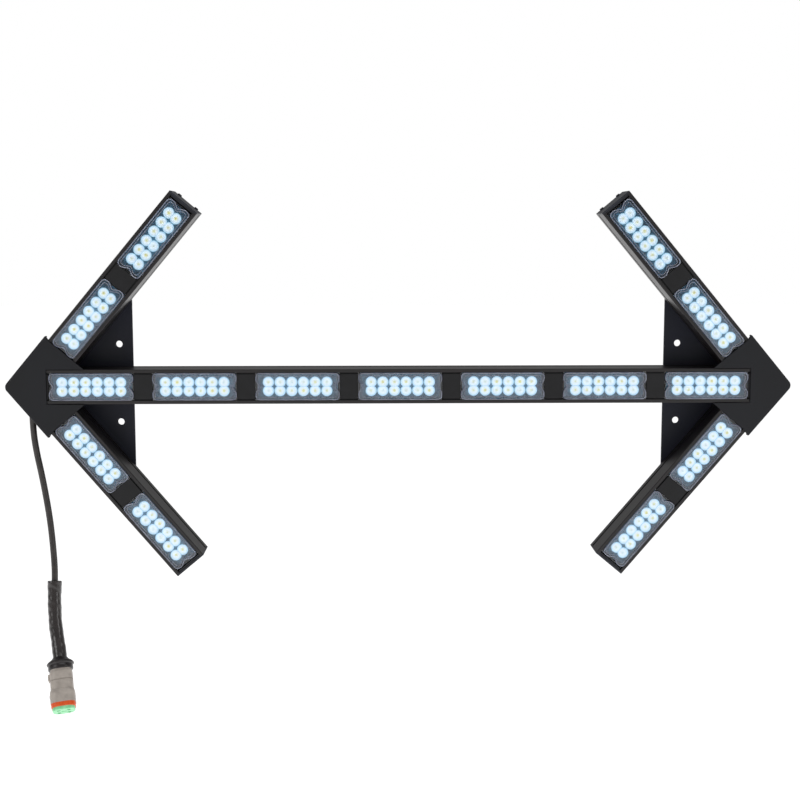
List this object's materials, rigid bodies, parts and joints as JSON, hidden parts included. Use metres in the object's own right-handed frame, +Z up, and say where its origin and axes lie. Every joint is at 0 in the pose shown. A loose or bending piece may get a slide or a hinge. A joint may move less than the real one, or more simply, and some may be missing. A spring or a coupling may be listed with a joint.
{
  "type": "double-headed LED arrow light bar",
  "caption": "Double-headed skeletal LED arrow light bar for traffic warning: slim lamp sticks, folded tip covers, rear plates with bolt holes and a hanging cable with a latching plug.",
  "frame": {"origin": "centre of the four mounting holes, on the back faces of the rear plates", "axes": "+X to the right along the bar, +Z up, +Y backwards into the surface it is bolted to; the lamps face -Y"},
  "size_m": [1.2198, 0.1486, 0.8016],
  "materials": {
    "housing_black": "extruded aluminium, satin black powder coat",
    "cover_black": "folded aluminium sheet, satin black powder coat",
    "plate_black": "steel plate, dark satin powder coat",
    "cap_black": "die-cast cap, black powder coat",
    "blank_black": "moulded black nylon",
    "lens_clear": "clear moulded polycarbonate",
    "lamp_black": "moulded black polycarbonate tray",
    "gasket_rubber": "black silicone seal",
    "board_dark": "dark solder mask board",
    "led_yellow": "phosphor-coated LED package",
    "optic_clear": "clear moulded collimating optics",
    "loom_black": "black sheathed wiring",
    "post_steel": "black plated steel post",
    "screw_steel": "black oxide steel screw",
    "boot_rubber": "moulded black rubber",
    "cable_black": "black cable sheath",
    "sleeve_black": "glossy black heat-shrink sleeve",
    "plug_grey": "warm grey moulded thermoplastic",
    "pin_steel": "steel pin",
    "seal_orange": "orange silicone seal",
    "lock_green": "pale green moulded thermoplastic",
    "contact_brass": "nickel plated copper contact"
  },
  "bodies": {
    "light_bar_frame": {"arm_housing_lower_left": "housing_black", "arm_housing_lower_right": "housing_black", "arm_housing_upper_left": "housing_black", "arm_housing_upper_right": "housing_black", "bar_housing": "housing_black", "cable_grommet": "boot_rubber", "circuit_boards": "board_dark", "end_blanks": "blank_black", "end_cap_screws": "screw_steel", "end_caps": "cap_black", "frame_screws": "screw_steel", "lamp_base_bar_1": "lamp_black", "lamp_base_bar_2": "lamp_black", "lamp_base_bar_3": "lamp_black", "lamp_base_bar_4": "lamp_black", "lamp_base_bar_5": "lamp_black", "lamp_base_bar_6": "lamp_black", "lamp_base_bar_7": "lamp_black", "lamp_base_lower_left_1": "lamp_black", "lamp_base_lower_left_2": "lamp_black", "lamp_base_lower_right_1": "lamp_black", "lamp_base_lower_right_2": "lamp_black", "lamp_base_upper_left_1": "lamp_black", "lamp_base_upper_left_2": "lamp_black", "lamp_base_upper_right_1": "lamp_black", "lamp_base_upper_right_2": "lamp_black", "latch_pin": "pin_steel", "led_emitters": "led_yellow", "lens_bar_1": "lens_clear", "lens_bar_2": "lens_clear", "lens_bar_3": "lens_clear", "lens_bar_4": "lens_clear", "lens_bar_5": "lens_clear", "lens_bar_6": "lens_clear", "lens_bar_7": "lens_clear", "lens_gaskets": "gasket_rubber", "lens_lower_left_1": "lens_clear", "lens_lower_left_2": "lens_clear", "lens_lower_right_1": "lens_clear", "lens_lower_right_2": "lens_clear", "lens_upper_left_1": "lens_clear", "lens_upper_left_2": "lens_clear", "lens_upper_right_1": "lens_clear", "lens_upper_right_2": "lens_clear", "optic_arrays": "optic_clear", "plug_body": "plug_grey", "plug_boot": "boot_rubber", "plug_contacts": "contact_brass", "plug_seal": "seal_orange", "power_cable": "cable_black", "rear_plate_left": "plate_black", "rear_plate_right": "plate_black", "shrink_sleeve": "sleeve_black", "spacers": "blank_black", "tip_cover_left": "cover_black", "tip_cover_right": "cover_black", "tip_standoffs": "post_steel", "wiring_loom": "loom_black"},
    "latch_body": {"plug_latch": "plug_grey"},
    "wedge_body": {"wedge_lock": "lock_green"}
  },
  "joints": [
    {"name": "latch_press", "type": "hinge", "parent": "light_bar_frame", "child": "latch_body", "pos_m": [-0.53948, -0.11649, -0.46016], "axis": [0.1371, -0.8246, 0.5488], "range_deg": [0, 3.5], "stiffness_Nm_per_rad": 0.05},
    {"name": "wedge_slide", "type": "slide", "parent": "light_bar_frame", "child": "wedge_body", "axis": [0.1735, -0.5255, -0.8329], "range_m": [0, 0.012]}
  ]
}
